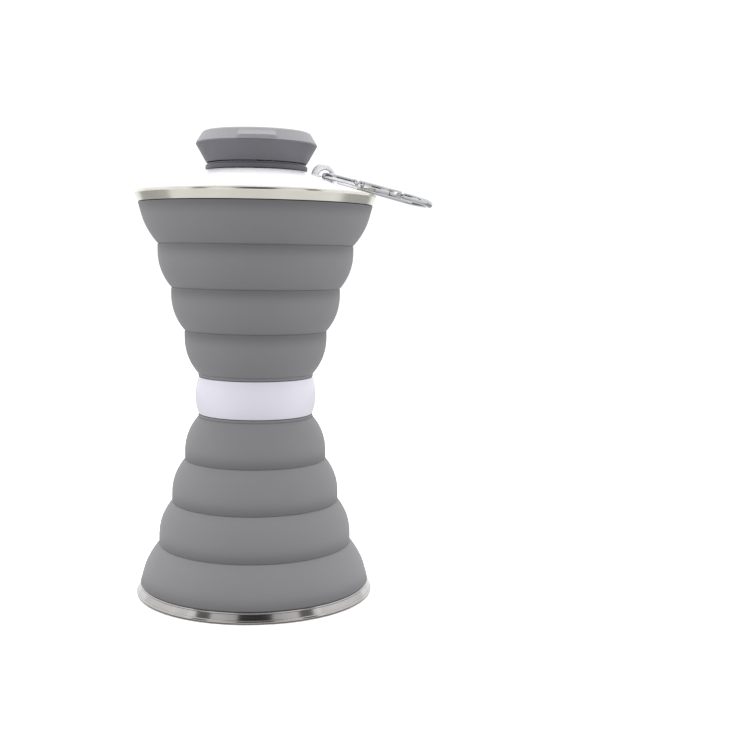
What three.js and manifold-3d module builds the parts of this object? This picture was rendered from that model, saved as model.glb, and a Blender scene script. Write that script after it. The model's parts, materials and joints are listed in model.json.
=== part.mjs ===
// A collapsible travel bottle: an hourglass of folding silicone between two steel rings,
// with a waist band, a screw-on dome lid, a flip-top drinking cap and a snap hook.
// Millimetres, +Z up. The origin is the centre of the underside, where the bottle stands.

import * as THREE from 'three';
import { mergeVertices } from 'three/addons/utils/BufferGeometryUtils.js';
import Module from 'manifold-3d';

const wasm = await Module();
wasm.setup();

// ---------------------------------------------------------------- driving dimensions

const bodySides = 32; // facets of the turned pieces of the body and the lid
const capSides = 32; // facets of the turned pieces of the cap
const pinSides = 16; // facets of pins, knuckles and their holes
const seatGap = 0.3; // air between two pieces that rest on each other
const pinClearance = 0.1; // air round a hinge pin

// Folding body: each cone has one wide stage and three inner ones. A stage is a stiff
// ring next to the wide end and a thinner web that turns inside out when it folds.
const shoulderRadius = 47.6; // silicone where it leaves the steel ring
const wideStageHeight = 16.3;
const wideStageRing = 7.0; // height of the wide stage's stiff ring
const wideStageLean = 0.27; // how much the wide stage leans in, per mm of height
const wideStageStraight = 4.5; // height before its bulge starts to turn in
const innerStageHeight = 17.6;
const innerStageRing = 8.9;
const innerStageStraight = 3.0;
const innerStageCount = 3;
const bulgeRadius = 22; // radius of the round that ends every stage
const grooveLip = 0.2; // how far each ring stands proud of the web before it
const ringWall = 2.0;
const webWall = 1.7;
const footWall = 4.2; // thick edge where the silicone is held by the rigid hoop

// Base
const floorThickness = 2.0;
const baseHeight = 4.6; // steel base ring
const baseFlare = 1.6; // how far the base ring's bead stands outside the silicone
const beadHeight = 1.2;
const steelWall = 0.6;
const hoopWidth = 1.1;

// Waist
const waistHeight = 18.0;
const neckWall = 2.4;
const bandHeight = 15.2;
const bandThickness = 1.8;
const bandCrown = 1.0; // how far the band's middle bulges past its edges

// Rim and screw ring
const rimHeight = 5.0;
const rimFlare = 1.4; // the rim's top edge stands this far outside its bottom edge
const mouthInset = 4.8; // the steel flange reaches this far in from the shoulder
const flangeThickness = 0.6;
const ledgeWidth = 1.8; // the ledge that the lid's seal rests on
const ledgeThickness = 0.9;

// Dome lid
const lidClearance = 0.5; // radial air between the lid's skirt and the mouth
const skirtDepth = 2.5;
const skirtWall = 1.4;
const domeRise = 8.4;
const domeWall = 1.9;
const domeMargin = 0.5; // flat of the dome round the foot of the collar
const lidSealThickness = 0.7;
const spoutNeckRadius = 17.2;
const spoutNeckWall = 2.4;
const spoutNeckHeight = 7.1;

// Hanging lug on the lid
const lugOffset = 6.7; // from the top edge of the dome to the hole
const lugHoleHeight = 7.3; // above the rim
const lugWall = 2.3; // round the hole
const lugHoleClearance = 1.0; // round the hook's wire
const lugThickness = 4.5;

// Flip-top cap
const collarWidth = 3.2;
const collarHeight = 2.4;
const collarGap = 0.5; // dark gap between the collar and the cap
const capBottomWidth = 2.9; // from the cap's bore to its bottom edge
const capFlare = 4.2; // how far the cap widens to its top edge
const capHeight = 7.6;
const capWall = 1.7;
const capFit = 0.3; // radial air between the cap's skirt and the neck
const deckThickness = 1.5;
const spoutRadius = 7.0;
const spoutBore = 4.6;
const capSealThickness = 0.6;
const flipHeight = 4.7;
const flipChamfer = 2.7; // how far the flip lid draws in to its top
const flipWall = 1.6;
const tabWidth = 16;
const tabHeight = 2.9;
const tabReach = 0.4; // how far the thumb tab stands past the cap's edge
const plugClearance = 0.4;
const plugDepth = 2.4; // how far the plug reaches into the spout
const plugLip = 0.4; // thickness of the plug's flange on the spout's mouth

// Flip-top hinge, behind the cap
const hingeReach = 1.7; // from the cap's edge to the hinge pin
const hingePinRadius = 0.7;
const knuckleRadius = 1.5;
const middleKnuckleWidth = 6.2;
const outerKnuckleWidth = 3.1;

// Snap hook
const wireRadius = 1.4;
const hookLength = 45; // between the wire's centre lines
const hookInnerBend = 6.2;
const hookOuterBend = 9.2;
const gateStart = 8; // along the straight side, from the inner bend
const gateTail = 4.4; // from the gate's pin to the outer bend
const gateSwell = 0.3; // how much thicker the gate is than the wire
const gatePinRadius = 0.6;
const gateWallAtEnd = 3; // solid nose of the gate
const gateBore = 1.1;
const tongueThickness = 1.3;
const tongueLength = 3.4;
const forkGap = 0.3;
const springWire = 0.2;
const springCoilRadius = 0.75;
const springPitch = 1.25;

// ---------------------------------------------------------------- materials

const material = (color, roughness, metalness) =>
  new THREE.MeshStandardMaterial({ color, roughness, metalness });
const greySilicone = material(0x8b8b8d, 0.75, 0);
const greyPlastic = material(0x86868c, 0.55, 0);
const whitePlastic = material(0xf2f2f6, 0.25, 0);
const bandPlastic = material(0xdddbe8, 0.45, 0);
const clearSilicone = material(0xe6e6e6, 0.6, 0);
const polishedSteel = material(0xcfcbc2, 0.15, 1);
const chromedSteel = material(0xe4e4e8, 0.08, 1);
const springSteel = material(0x9a9a9a, 0.3, 1);

// ---------------------------------------------------------------- shape helpers

const bottle = new THREE.Group();

const addPiece = (name, geometry, finish, parent = bottle) => {
  const mesh = new THREE.Mesh(geometry, finish);
  mesh.name = name;
  parent.add(mesh);
  return mesh;
};

// An outline is a list of [radius, height], up the outside and down the inside.
const turned = (outline, sides = bodySides) => {
  const onAxis = outline[0][0] === 0;
  const loop = onAxis ? outline : [...outline, outline[0]];
  const geometry = new THREE.LatheGeometry(
    loop.map(([radius, height]) => new THREE.Vector2(radius, height)),
    sides
  );
  return geometry.rotateX(Math.PI / 2);
};

const rod = (radius, length, sides = pinSides) => new THREE.CylinderGeometry(radius, radius, length, sides);

const rodAlongX = (radius, length, x, y, z) =>
  rod(radius, length).rotateZ(Math.PI / 2).translate(x, y, z);

const block = ([xLow, yLow, zLow], [xHigh, yHigh, zHigh]) =>
  new THREE.BoxGeometry(xHigh - xLow, yHigh - yLow, zHigh - zLow).translate(
    (xLow + xHigh) / 2,
    (yLow + yHigh) / 2,
    (zLow + zHigh) / 2
  );

const wireAlong = (curve, radius, steps, sides) => {
  const section = new THREE.Shape();
  section.absarc(0, 0, radius, 0, 2 * Math.PI);
  return new THREE.ExtrudeGeometry(section, { extrudePath: curve, steps, curveSegments: sides });
};

const toSolid = (geometry) => {
  const bare = geometry.clone();
  bare.deleteAttribute('normal');
  bare.deleteAttribute('uv');
  const merged = mergeVertices(bare, 1e-4);
  const corners = merged.index.array;
  const kept = [];
  for (let i = 0; i < corners.length; i += 3) {
    const [a, b, c] = corners.slice(i, i + 3);
    if (a !== b && b !== c && c !== a) kept.push(a, b, c);
  }
  return new wasm.Manifold(
    new wasm.Mesh({
      numProp: 3,
      vertProperties: merged.attributes.position.array,
      triVerts: new Uint32Array(kept),
    })
  );
};

const toGeometry = (solid) => {
  const mesh = solid.getMesh();
  const geometry = new THREE.BufferGeometry();
  geometry.setAttribute('position', new THREE.BufferAttribute(mesh.vertProperties, 3));
  geometry.setIndex(new THREE.BufferAttribute(mesh.triVerts, 1));
  geometry.computeVertexNormals();
  return geometry;
};

const joined = (...geometries) => geometries.map(toSolid).reduce((sum, solid) => sum.add(solid));

// ---------------------------------------------------------------- folding body

// Radius of a stage's outside at a height above its wide end.
const stageRadius = (stage, height) => {
  const past = Math.max(0, height - stage.straight);
  const bulge = bulgeRadius - Math.sqrt(bulgeRadius ** 2 - past ** 2);
  return stage.radius - stage.lean * height - bulge;
};

const stages = [
  {
    radius: shoulderRadius,
    height: wideStageHeight,
    ring: wideStageRing,
    lean: wideStageLean,
    straight: wideStageStraight,
    bottom: baseHeight,
  },
];
for (let i = 0; i < innerStageCount; i++) {
  const before = stages.at(-1);
  stages.push({
    radius: stageRadius(before, before.height) + grooveLip,
    height: innerStageHeight,
    ring: innerStageRing,
    lean: 0,
    straight: innerStageStraight,
    bottom: before.bottom + before.height,
  });
}

const lastStage = stages.at(-1);
const neckRadius = stageRadius(lastStage, lastStage.height);
const waistBottom = lastStage.bottom + lastStage.height;
const waistTop = waistBottom + waistHeight;
const mirrorHeight = waistBottom + waistTop;
const rimBottom = mirrorHeight - baseHeight;
const rimTop = rimBottom + rimHeight;

const mouthRadius = shoulderRadius - mouthInset;
const ledgeRadius = mouthRadius - ledgeWidth;

const mirrored = (outline) => outline.map(([radius, height]) => [radius, mirrorHeight - height]).reverse();

const stageOutline = (stage, from, to, wall) => {
  const heights = [from, (from + to) / 2, to];
  const outside = heights.map((h) => [stageRadius(stage, h), stage.bottom + h]);
  const inside = outside.map(([radius, height]) => [radius - wall, height]).reverse();
  return [...outside, ...inside];
};

stages.forEach((stage, i) => {
  const ring = stageOutline(stage, 0, stage.ring, ringWall);
  if (i === 0) {
    const foot = stage.radius - footWall;
    ring.splice(-1, 1, [stage.radius - ringWall, stage.bottom + ringWall], [foot, stage.bottom]);
  }
  const web = stageOutline(stage, stage.ring, stage.height, webWall);
  addPiece(`lower_ring_${i + 1}`, turned(ring), greySilicone);
  addPiece(`lower_web_${i + 1}`, turned(web), greySilicone);
  addPiece(`upper_ring_${i + 1}`, turned(mirrored(ring)), greySilicone);
  addPiece(`upper_web_${i + 1}`, turned(mirrored(web)), greySilicone);
});

// ---------------------------------------------------------------- base

// The floor turns up inside the rigid hoop and meets the foot of the first ring.
const footInner = shoulderRadius - footWall;
const baseTopRadius = shoulderRadius - seatGap;
const hoopRadius = baseTopRadius - steelWall - seatGap;
const upstandRadius = hoopRadius - hoopWidth - seatGap;
const floorOutline = [
  [0, 0],
  [upstandRadius, 0],
  [upstandRadius, baseHeight],
  [footInner, baseHeight],
  [footInner, floorThickness],
  [0, floorThickness],
];
addPiece('floor_pad', turned(floorOutline), greySilicone);

const hoopOutline = [
  [hoopRadius, beadHeight],
  [hoopRadius, baseHeight - seatGap],
  [hoopRadius - hoopWidth, baseHeight - seatGap],
  [hoopRadius - hoopWidth, beadHeight],
];
addPiece('base_hoop', turned(hoopOutline), greyPlastic);

const beadRadius = shoulderRadius + baseFlare;
const baseRingOutline = [
  [beadRadius - beadHeight / 2, 0],
  [beadRadius, beadHeight / 2],
  [beadRadius - steelWall / 2, beadHeight],
  [baseTopRadius, baseHeight - seatGap],
  [baseTopRadius - steelWall, baseHeight - seatGap],
  [beadRadius - 1.6 * steelWall, beadHeight],
  [beadRadius - 2 * beadHeight, steelWall],
  [beadRadius - 2 * beadHeight, 0],
];
addPiece('base_steel_ring', turned(baseRingOutline), polishedSteel);

// ---------------------------------------------------------------- waist

const bandInset = (waistHeight - bandHeight) / 2;
const bandBottom = waistBottom + bandInset;
const bandTop = bandBottom + bandHeight;
const bandInner = neckRadius - neckWall / 4;
const sleeveRadius = bandInner - seatGap;
const sleeveBore = neckRadius - neckWall;
const sleeveOutline = [
  [neckRadius, waistBottom],
  [neckRadius, bandBottom - seatGap],
  [sleeveRadius, bandBottom - seatGap],
  [sleeveRadius, bandTop + seatGap],
  [neckRadius, bandTop + seatGap],
  [neckRadius, waistTop],
  [sleeveBore, waistTop],
  [sleeveBore, waistBottom],
];
addPiece('waist_sleeve', turned(sleeveOutline), greySilicone);

const bandEdge = bandInner + bandThickness - bandCrown;
const bandOutline = [
  [bandEdge, bandBottom],
  [bandEdge + 0.8 * bandCrown, bandBottom + 0.2 * bandHeight],
  [bandEdge + bandCrown, bandBottom + bandHeight / 2],
  [bandEdge + 0.8 * bandCrown, bandTop - 0.2 * bandHeight],
  [bandEdge, bandTop],
  [bandInner, bandTop],
  [bandInner, bandBottom],
];
addPiece('waist_band', turned(bandOutline), bandPlastic);

// ---------------------------------------------------------------- rim

const rimTopRadius = shoulderRadius + rimFlare;
const flangeBottom = rimTop - flangeThickness;
const rimOutline = [
  [shoulderRadius, rimBottom + seatGap],
  [rimTopRadius, rimTop - flangeThickness / 2],
  [rimTopRadius - flangeThickness / 2, rimTop],
  [mouthRadius, rimTop],
  [mouthRadius, flangeBottom],
  [rimTopRadius - steelWall - flangeThickness / 2, flangeBottom],
  [shoulderRadius - steelWall, rimBottom + seatGap],
];
addPiece('rim_steel_ring', turned(rimOutline), polishedSteel);

const threadRingRadius = shoulderRadius - steelWall - seatGap;
const ledgeBottom = rimBottom + seatGap;
const ledgeTop = ledgeBottom + ledgeThickness;
const threadRingOutline = [
  [threadRingRadius, ledgeBottom],
  [threadRingRadius, flangeBottom - seatGap],
  [mouthRadius, flangeBottom - seatGap],
  [mouthRadius, ledgeTop],
  [ledgeRadius, ledgeTop],
  [ledgeRadius, ledgeBottom],
];
addPiece('rim_thread_ring', turned(threadRingOutline), greyPlastic);

// ---------------------------------------------------------------- dome lid

const skirtRadius = mouthRadius - lidClearance;
const skirtInner = skirtRadius - skirtWall;
const skirtBottom = rimTop - skirtDepth;
const domeTop = rimTop + domeRise;
const neckTop = domeTop + spoutNeckHeight;
const spoutNeckBore = spoutNeckRadius - spoutNeckWall;
const collarBore = spoutNeckRadius + capFit;
const collarRadius = collarBore + collarWidth;
const domeTopRadius = collarRadius + domeMargin;

// The dome rises gently from the mouth, then sweeps up to the foot of the cap.
const domeSweep = [0, 0.13, 0.34, 0.58, 0.8, 0.93, 1];
const domeLift = [0, 0.11, 0.26, 0.43, 0.65, 0.85, 1];
const domeOutside = domeSweep.map((sweep, i) => [
  skirtRadius + (domeTopRadius - skirtRadius) * sweep,
  rimTop + domeRise * domeLift[i],
]);
const domeInside = domeOutside
  .slice(1, -1)
  .map(([radius, height]) => [Math.min(radius, skirtInner), height - domeWall])
  .reverse();
const domeOutline = [
  [skirtRadius, skirtBottom],
  ...domeOutside,
  [spoutNeckRadius, domeTop],
  [spoutNeckRadius, neckTop],
  [spoutNeckBore, neckTop],
  [spoutNeckBore, domeTop - domeWall],
  ...domeInside,
  [skirtInner, skirtBottom],
];

// The lug is an arch that grows out of the dome, pierced across the bottle's radius.
const lugHoleZ = rimTop + lugHoleHeight;
const lugReach = domeTopRadius + lugOffset;
const lugHoleRadius = wireRadius + lugHoleClearance;
const lugRadius = lugHoleRadius + lugWall;
const domeHeightAt = (radius) => {
  const i = domeOutside.findIndex(([r]) => r <= radius);
  const [[r0, z0], [r1, z1]] = domeOutside.slice(i - 1, i + 1);
  return z0 + ((radius - r0) / (r1 - r0)) * (z1 - z0);
};
const lugShape = new THREE.Shape();
const lugInner = lugReach - lugRadius;
const lugOuter = lugReach + lugRadius;
lugShape.moveTo(lugOuter, domeHeightAt(lugOuter) - domeWall / 2);
lugShape.lineTo(lugOuter, lugHoleZ);
lugShape.absarc(lugReach, lugHoleZ, lugRadius, 0, Math.PI);
lugShape.lineTo(lugInner, domeHeightAt(lugInner) - domeWall / 2);
const lugHole = new THREE.Path();
lugHole.absarc(lugReach, lugHoleZ, lugHoleRadius, 0, 2 * Math.PI, true);
lugShape.holes.push(lugHole);
const lug = new THREE.ExtrudeGeometry(lugShape, {
  depth: lugThickness,
  bevelEnabled: false,
  curveSegments: 12,
});
lug.rotateX(Math.PI / 2).translate(0, lugThickness / 2, 0);
addPiece('lid_dome', toGeometry(joined(turned(domeOutline), lug)), whitePlastic);

const lidSealBottom = skirtBottom - seatGap - lidSealThickness;
const lidSealOutline = [
  [skirtRadius, lidSealBottom],
  [skirtRadius, lidSealBottom + lidSealThickness],
  [ledgeRadius, lidSealBottom + lidSealThickness],
  [ledgeRadius, lidSealBottom],
];
addPiece('lid_seal', turned(lidSealOutline), clearSilicone);

// ---------------------------------------------------------------- flip-top cap

const collarBottom = domeTop + seatGap;
const collarTop = collarBottom + collarHeight;
const collarOutline = [
  [collarRadius, collarBottom],
  [collarRadius, collarTop],
  [collarBore, collarTop],
  [collarBore, collarBottom],
];
addPiece('neck_collar', turned(collarOutline, capSides), greyPlastic);

const capBottom = collarTop + collarGap;
const capTop = capBottom + capHeight;
const capBore = spoutNeckRadius + capFit;
const capBottomRadius = capBore + capBottomWidth;
const capTopRadius = capBottomRadius + capFlare;
const skirtOuter = capBore + capWall;
const deckBottom = neckTop + capSealThickness + 2 * seatGap;
const deckTop = deckBottom + deckThickness;
const flipBottom = capTop + seatGap;
const flipTop = flipBottom + flipHeight;
const flipUnder = flipTop - flipWall;
const plugTop = flipUnder - seatGap;
const spoutTop = plugTop - plugLip - seatGap;
const flipTopRadius = capTopRadius - flipChamfer;
const moatBottom = capBottom + capWall;
const capRadiusAt = (height) =>
  capBottomRadius + ((capTopRadius - capBottomRadius) * (height - capBottom)) / capHeight;
const capOutline = [
  [capBottomRadius, capBottom],
  [capTopRadius, capTop],
  [capTopRadius - capWall, capTop],
  [Math.max(capRadiusAt(moatBottom) - capWall, skirtOuter + seatGap), moatBottom],
  [skirtOuter, moatBottom],
  [skirtOuter, deckTop],
  [spoutRadius, deckTop],
  [spoutRadius, spoutTop],
  [spoutBore, spoutTop],
  [spoutBore, deckBottom],
  [capBore, deckBottom],
  [capBore, capBottom],
];

// The hinge is a barrel behind the cap: one knuckle of the flip lid between two of the cap.
const hingeY = capTopRadius + hingeReach;
const hingeZ = capTop + seatGap / 2;
const barrelWidth = middleKnuckleWidth + 2 * (outerKnuckleWidth + seatGap);
const pinHole = rodAlongX(hingePinRadius + pinClearance, 2 * barrelWidth, 0, hingeY, hingeZ);
const outerKnuckleX = middleKnuckleWidth / 2 + seatGap + outerKnuckleWidth / 2;
let capSolid = toSolid(turned(capOutline, capSides));
for (const side of [-1, 1]) {
  const x = side * outerKnuckleX;
  const half = outerKnuckleWidth / 2;
  const barrel = rodAlongX(knuckleRadius, outerKnuckleWidth, x, hingeY, hingeZ);
  const arm = block(
    [x - half, capTopRadius - capWall / 2, capTop - knuckleRadius],
    [x + half, hingeY, capTop]
  );
  capSolid = capSolid.add(joined(barrel, arm));
}
addPiece('cap_body', toGeometry(capSolid.subtract(toSolid(pinHole))), greyPlastic);

const capSealOutline = [
  [capBore - seatGap, neckTop + seatGap],
  [capBore - seatGap, neckTop + seatGap + capSealThickness],
  [spoutNeckBore, neckTop + seatGap + capSealThickness],
  [spoutNeckBore, neckTop + seatGap],
];
addPiece('cap_seal', turned(capSealOutline, capSides), clearSilicone);

const flipOutline = [
  [0, flipUnder],
  [flipTopRadius - flipWall, flipUnder],
  [capTopRadius - flipWall, flipBottom],
  [capTopRadius, flipBottom],
  [capTopRadius, flipBottom + seatGap],
  [flipTopRadius, flipTop - flipWall / 2],
  [flipTopRadius - flipWall / 2, flipTop],
  [0, flipTop],
];
const tabRing = [
  [capTopRadius + tabReach, flipBottom],
  [capTopRadius + tabReach, flipBottom + tabHeight],
  [flipTopRadius - flipWall, flipBottom + tabHeight],
  [capTopRadius - flipWall, flipBottom],
];
const tabFront = block([-tabWidth / 2, -2 * capTopRadius, flipBottom], [tabWidth / 2, 0, flipTop]);
const tab = toSolid(turned(tabRing, capSides)).intersect(toSolid(tabFront));
const middleBarrel = rodAlongX(knuckleRadius, middleKnuckleWidth, 0, hingeY, hingeZ);
const middleArm = block(
  [-middleKnuckleWidth / 2, capTopRadius - flipWall, flipBottom],
  [middleKnuckleWidth / 2, hingeY, flipBottom + knuckleRadius - seatGap]
);
const flipSolid = joined(turned(flipOutline, capSides), middleBarrel, middleArm)
  .add(tab)
  .subtract(toSolid(pinHole));
addPiece('flip_lid', toGeometry(flipSolid), greyPlastic);

const plugFlange = spoutRadius - flipWall / 2;
const plugRadius = spoutBore - plugClearance;
const plugOutline = [
  [0, spoutTop - plugDepth],
  [plugRadius - seatGap, spoutTop - plugDepth],
  [plugRadius, spoutTop - plugDepth / 2],
  [plugRadius, plugTop - plugLip],
  [plugFlange, plugTop - plugLip],
  [plugFlange, plugTop],
  [0, plugTop],
];
addPiece('spout_plug', turned(plugOutline, 24), clearSilicone);

const hingePin = rodAlongX(hingePinRadius, barrelWidth, 0, hingeY, hingeZ);
addPiece('flip_hinge_pin', hingePin, springSteel);

// ---------------------------------------------------------------- snap hook

// The hook's own frame: x runs out from the lug's hole, y across the hook, z through it.
// It slopes down until its gate lies on the rim's edge.
const gateRadius = wireRadius + gateSwell;
const lugToEdge = new THREE.Vector2(rimTopRadius - lugReach, lugHoleHeight);
const hook = new THREE.Group();
hook.position.set(lugReach, 0, lugHoleZ);
hook.rotation.y = lugToEdge.angle() - Math.asin((gateRadius + seatGap) / lugToEdge.length());
bottle.add(hook);

const outerBendX = hookLength - hookOuterBend;
const taper = Math.asin((hookOuterBend - hookInnerBend) / (outerBendX - hookInnerBend));
const innerTangent = new THREE.Vector2(
  hookInnerBend - hookInnerBend * Math.sin(taper),
  -hookInnerBend * Math.cos(taper)
);
const sideDirection = new THREE.Vector2(Math.cos(taper), -Math.sin(taper));
const sideLength = (outerBendX - hookInnerBend) * Math.cos(taper);
const gateLength = sideLength - gateStart - gateTail;
const alongSide = (distance) => innerTangent.clone().addScaledVector(sideDirection, distance);

const pinPlace = alongSide(gateStart + gateLength);
const noseEnd = alongSide(gateStart - seatGap);
const wireStart = alongSide(gateStart + gateLength + tongueLength / 2);
const wirePath = new THREE.Path();
wirePath.moveTo(wireStart.x, wireStart.y);
const outerTangent = alongSide(sideLength);
wirePath.lineTo(outerTangent.x, outerTangent.y);
wirePath.absarc(outerBendX, 0, hookOuterBend, -Math.PI / 2 - taper, Math.PI / 2 + taper, false);
wirePath.absarc(hookInnerBend, 0, hookInnerBend, Math.PI / 2 + taper, 1.5 * Math.PI - taper, false);
wirePath.lineTo(noseEnd.x, noseEnd.y);
const wireCurve = new THREE.CatmullRomCurve3(
  wirePath.getSpacedPoints(48).map((point) => new THREE.Vector3(point.x, point.y, 0))
);
const wire = wireAlong(wireCurve, wireRadius, 48, 8);

// A frame along the gated side, with its origin on the gate's pin.
const gateFrame = new THREE.Matrix4()
  .makeRotationZ(-taper)
  .setPosition(pinPlace.x, pinPlace.y, 0);
const onGate = (geometry) => geometry.applyMatrix4(gateFrame);
const tongue = block(
  [-gatePinRadius - forkGap, -wireRadius * 0.8, -tongueThickness / 2],
  [tongueLength, wireRadius * 0.8, tongueThickness / 2]
);
const gatePinHole = () => rod(gatePinRadius + pinClearance, 4 * gateRadius).rotateX(Math.PI / 2);
const hookSolid = joined(wire, onGate(tongue)).subtract(toSolid(onGate(gatePinHole())));
addPiece('hook_body', toGeometry(hookSolid), chromedSteel, hook);

const gateEnd = gatePinRadius + 2 * forkGap;
const gateBarrel = rod(gateRadius, gateLength + gateEnd)
  .rotateZ(Math.PI / 2)
  .translate((gateEnd - gateLength) / 2, 0, 0);
const forkSlot = block(
  [-gatePinRadius - 4 * forkGap, -2 * gateRadius, -tongueThickness / 2 - forkGap],
  [2 * gateEnd, 2 * gateRadius, tongueThickness / 2 + forkGap]
);
const boreLength = gateLength - gateWallAtEnd;
const springBore = rod(gateBore, boreLength)
  .rotateZ(Math.PI / 2)
  .translate(-boreLength / 2, 0, 0);
const gateSolid = toSolid(gateBarrel)
  .subtract(joined(forkSlot, springBore, gatePinHole()))
  .transform(gateFrame.toArray());
addPiece('hook_gate', toGeometry(gateSolid), chromedSteel, hook);

const gatePin = rod(gatePinRadius, 2 * gateRadius).rotateX(Math.PI / 2);
addPiece('gate_pin', onGate(gatePin), springSteel, hook);

const springStart = gatePinRadius + 5 * forkGap;
const springLength = boreLength - springStart - seatGap - springWire;
const springTurns = Math.round(springLength / springPitch);
class Helix extends THREE.Curve {
  getPoint(t) {
    const angle = 2 * Math.PI * springTurns * t;
    return new THREE.Vector3(
      -springStart - springLength * t,
      springCoilRadius * Math.cos(angle),
      springCoilRadius * Math.sin(angle)
    );
  }
}
const spring = wireAlong(new Helix(), springWire, 8 * springTurns, 5);
addPiece('gate_spring', onGate(spring), springSteel, hook);

export default bottle;
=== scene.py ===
# A collapsible travel bottle: folding silicone between two steel rings, a waist band,
# a screw-on dome lid, a flip-top drinking cap and a snap hook. The pieces follow in the
# order in which they go together, from the floor up. Sizes are in millimetres.

import json
import math

import bmesh
import bpy
from mathutils import Matrix, Vector


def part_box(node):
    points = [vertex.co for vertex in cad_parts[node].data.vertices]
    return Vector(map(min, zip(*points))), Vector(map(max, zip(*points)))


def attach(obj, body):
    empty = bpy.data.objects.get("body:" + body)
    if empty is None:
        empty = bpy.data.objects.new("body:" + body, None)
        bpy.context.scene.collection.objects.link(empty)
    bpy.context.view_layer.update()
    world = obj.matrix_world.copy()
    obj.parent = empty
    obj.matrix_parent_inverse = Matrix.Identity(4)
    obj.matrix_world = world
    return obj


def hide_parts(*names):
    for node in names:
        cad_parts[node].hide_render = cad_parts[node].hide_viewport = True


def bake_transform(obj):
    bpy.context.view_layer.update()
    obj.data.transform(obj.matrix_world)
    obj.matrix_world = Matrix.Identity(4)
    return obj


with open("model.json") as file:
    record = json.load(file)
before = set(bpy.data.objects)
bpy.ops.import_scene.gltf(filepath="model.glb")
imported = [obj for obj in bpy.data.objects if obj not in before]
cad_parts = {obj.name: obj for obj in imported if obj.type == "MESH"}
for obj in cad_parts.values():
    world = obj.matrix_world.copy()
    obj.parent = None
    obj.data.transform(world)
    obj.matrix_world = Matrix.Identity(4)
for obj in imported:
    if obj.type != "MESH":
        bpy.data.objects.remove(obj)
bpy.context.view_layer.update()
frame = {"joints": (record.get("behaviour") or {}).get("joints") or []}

# ---- silicone floor
# The floor of the bottle is a moulded silicone disc. Its upstand is pressed into the
# rigid hoop, and its underside has a foot ring and a dished middle to stand steadily.

MM = 0.001
AROUND = 160  # facets round a turned piece


def low(node):
    """Lowest height of a piece of the frame, in millimetres."""
    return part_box(node)[0].z / MM


def high(node):
    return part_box(node)[1].z / MM


def span(node):
    return low(node), high(node)


def radius(node):
    """Largest radius of a turned piece of the frame, in millimetres."""
    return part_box(node)[1].x / MM


def outline(corners):
    """Rounds the corners (radius, height, fillet) of an outline, with a point beside each bend."""
    points = []
    count = len(corners)
    for i, (r, z, fillet) in enumerate(corners):
        here = Vector((r, z))
        if fillet == 0:
            points.append(here)
            continue
        before = Vector(corners[i - 1][:2]) - here
        after = Vector(corners[(i + 1) % count][:2]) - here
        half = before.angle(after, math.pi) / 2
        reach = min(fillet / math.tan(half), 0.48 * before.length, 0.48 * after.length)
        hold = min(0.15, 0.3 * reach)
        bend = reach * math.tan(half)
        back, onward = before.normalized(), after.normalized()
        start, end = here + back * reach, here + onward * reach
        centre = here + (back + onward).normalized() * (bend / math.sin(half))
        steps = max(2, round((math.pi - 2 * half) / math.radians(16)))
        points.append(start + back * hold)
        for k in range(steps + 1):
            spoke = (start - centre).slerp(end - centre, k / steps, Vector((0, 0)))
            points.append(centre + spoke.normalized() * bend)
        points.append(end + onward * hold)
    return [(p.x, p.y) for p in points]


def placed(name, data):
    """A new object in the scene."""
    thing = bpy.data.objects.new(name, data)
    bpy.context.scene.collection.objects.link(thing)
    return thing


def piece(name, mesh):
    """A mesh in millimetres becomes a named piece in metres, with its outer edges and inner corners marked
    for wear, painted highlights and painted shade.
    """
    work = bmesh.new()
    work.from_mesh(mesh)
    bmesh.ops.recalc_face_normals(work, faces=work.faces)
    bmesh.ops.scale(work, vec=(MM, MM, MM), verts=work.verts)
    # The edge mark drives wear, painted highlights on outer edges and painted shade in inner corners.
    layer = work.verts.layers.float.new("edge")
    for corner in work.verts:
        bend = sum(e.calc_face_angle_signed(0) * e.calc_length() for e in corner.link_edges)
        area = sum(f.calc_area() / len(f.verts) for f in corner.link_faces)
        corner[layer] = max(-1, min(1, bend / (4 * area + 1e-12) * 0.3 * MM))
    work.to_mesh(mesh)
    work.free()
    mesh.shade_smooth()
    return placed(name, mesh)


def turned_mesh(name, corners, reshape=None, around=AROUND):
    """Turns an outline about the axis. Points on the axis share one vertex."""
    points = outline(corners)
    vertices, rows = [], []
    for r, z in points:
        if r < 1e-6:
            rows.append([len(vertices)] * around)
            vertices.append((0, 0, z))
            continue
        rows.append(list(range(len(vertices), len(vertices) + around)))
        for k in range(around):
            angle = 2 * math.pi * k / around
            shaped_r, shaped_z = reshape(angle, r, z) if reshape else (r, z)
            vertices.append((shaped_r * math.cos(angle), shaped_r * math.sin(angle), shaped_z))
    closed = points[0][0] > 1e-6
    pairs = zip(rows, rows[1:] + rows[:1]) if closed else zip(rows, rows[1:])
    faces = []
    for lower, upper in pairs:
        for k in range(around):
            n = (k + 1) % around
            corners = dict.fromkeys((lower[k], lower[n], upper[n], upper[k]))
            if len(corners) > 2:
                faces.append(list(corners))
    mesh = bpy.data.meshes.new(name)
    mesh.from_pydata(vertices, [], faces)
    return mesh


def turned(name, corners, reshape=None, around=AROUND):
    return piece(name, turned_mesh(name, corners, reshape, around))


class Signal:
    """A value that varies over a surface. Arithmetic on it adds Math nodes."""

    def __init__(self, finish, socket):
        self.finish, self.socket = finish, socket

    def combine(self, operation, first, second, clamp=False):
        settings = {"operation": operation, "use_clamp": clamp}
        return self.finish.node("ShaderNodeMath", settings, {0: first, 1: second})

    def __add__(self, other):
        return self.combine("ADD", self, other)

    def __sub__(self, other):
        return self.combine("SUBTRACT", self, other)

    def __rsub__(self, other):
        return self.combine("SUBTRACT", other, self)

    def __mul__(self, other):
        return self.combine("MULTIPLY", self, other)

    __radd__ = __add__
    __rmul__ = __mul__

    def held(self):
        """The value kept between 0 and 1."""
        return self.combine("ADD", self, 0, clamp=True)


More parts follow.
